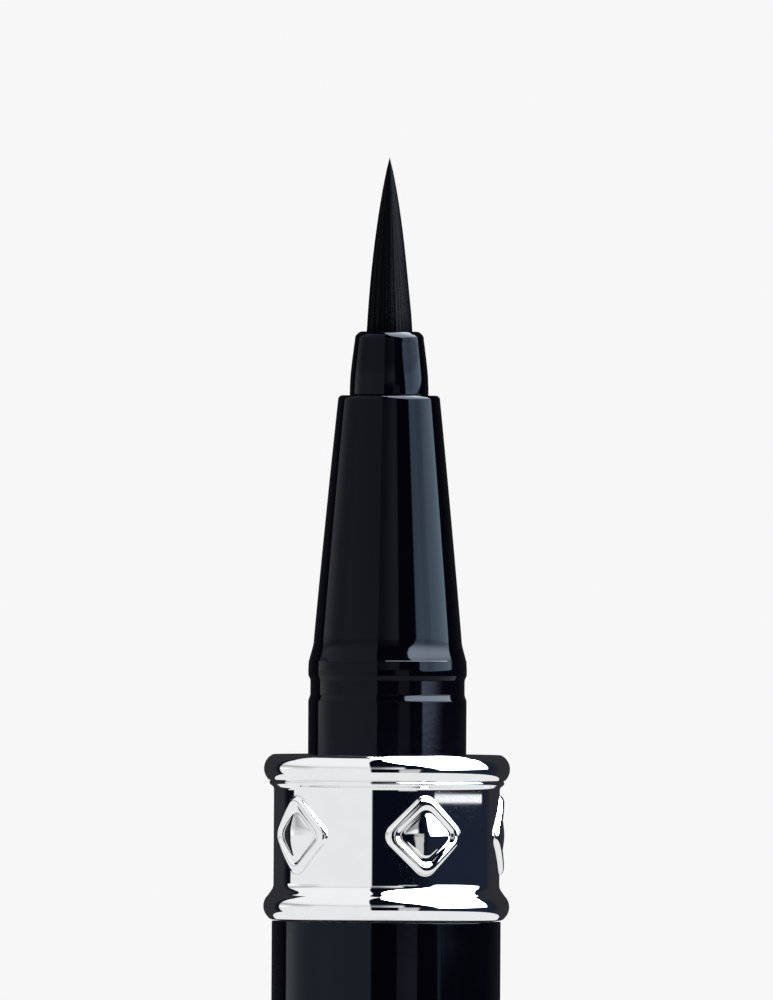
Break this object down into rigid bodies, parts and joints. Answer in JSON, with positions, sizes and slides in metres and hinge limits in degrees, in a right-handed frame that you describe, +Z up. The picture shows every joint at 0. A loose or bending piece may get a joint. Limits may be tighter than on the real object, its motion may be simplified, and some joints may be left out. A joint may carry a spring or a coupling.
{
  "type": "eyeliner pen",
  "caption": "Brush-tip liquid eyeliner pen, uncapped, standing on its posted cap, with a glossy black barrel and nose cone and a bright collar.",
  "frame": {"origin": "centre of the posted cap's closed end, the face that the pen stands on", "axes": "+Z up the pen towards the brush; -Y is the side the picture shows"},
  "size_m": [0.0112, 0.0112, 0.1597],
  "materials": {
    "black_gloss": "high gloss black moulded plastic",
    "chrome": "mirror bright vacuum-metallised",
    "brush_black": "ink-wet tapered filament, slight sheen",
    "fibre": "bonded fibre rod, soaked",
    "comb_plastic": "moulded, satin",
    "tank_plastic": "natural moulded polypropylene",
    "liner_plastic": "moulded, satin",
    "inner_cap_plastic": "soft moulded polyethylene",
    "seal_rubber": "matte black rubber",
    "steel": "polished ball",
    "spring_steel": "drawn wire"
  },
  "bodies": {
    "pen": {"brush_tip": "brush_black", "brush_base": "brush_black", "brush_holder": "black_gloss", "feed_core": "fibre", "collector": "comb_plastic", "nose_cone": "black_gloss", "nose_seal": "seal_rubber", "decor_collar": "chrome", "barrel": "black_gloss", "ink_tank": "tank_plastic", "tank_plug": "tank_plastic", "plug_seal": "seal_rubber", "tail_plug": "black_gloss"},
    "ball": {"mixing_ball": "steel"},
    "cap": {"cap_shell": "black_gloss", "cap_liner": "liner_plastic", "cap_spring": "spring_steel"},
    "seal_cup": {"inner_cap": "inner_cap_plastic"}
  },
  "joints": [
    {"name": "cap_pull", "type": "slide", "parent": "pen", "child": "cap", "axis": [0, 0, -1], "range_m": [0, 0.045]},
    {"name": "seal_cup_slide", "type": "slide", "parent": "cap", "child": "seal_cup", "axis": [0, 0, -1], "range_m": [0, 0.0015], "stiffness_N_per_m": 400, "springref_m": -0.001, "deforming": ["cap_spring"]},
    {"name": "ball_run", "type": "slide", "parent": "pen", "child": "ball", "axis": [0, 0, 1], "range_m": [0, 0.0525]}
  ]
}
